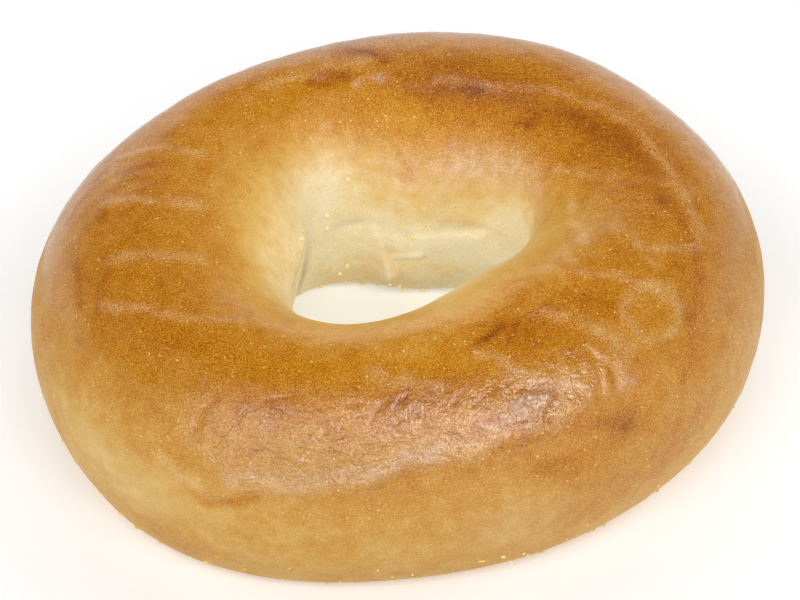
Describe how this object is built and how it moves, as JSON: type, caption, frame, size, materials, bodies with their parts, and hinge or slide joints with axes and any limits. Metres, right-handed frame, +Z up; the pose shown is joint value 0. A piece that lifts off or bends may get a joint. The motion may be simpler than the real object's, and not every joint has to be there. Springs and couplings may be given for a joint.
{
  "type": "bagel",
  "caption": "Plain baked bagel: a plump, slightly oval ring of bread with a browned crown, pale hole wall, flat base and cornmeal on its underside.",
  "frame": {"origin": "on the table, under the middle of the ring's bounding box", "axes": "+Z up through the hole, +X along the longest extent of the oval, -Y towards the viewer of the picture"},
  "size_m": [0.1144, 0.098, 0.0416],
  "materials": {
    "crust": "baked bread crust, golden brown on the crown and cream in the hole, with a satin gloss from boiling",
    "cornmeal": "dry yellow cornmeal grains, matte"
  },
  "bodies": {
    "root": {"bagel": "crust"}
  },
  "joints": []
}
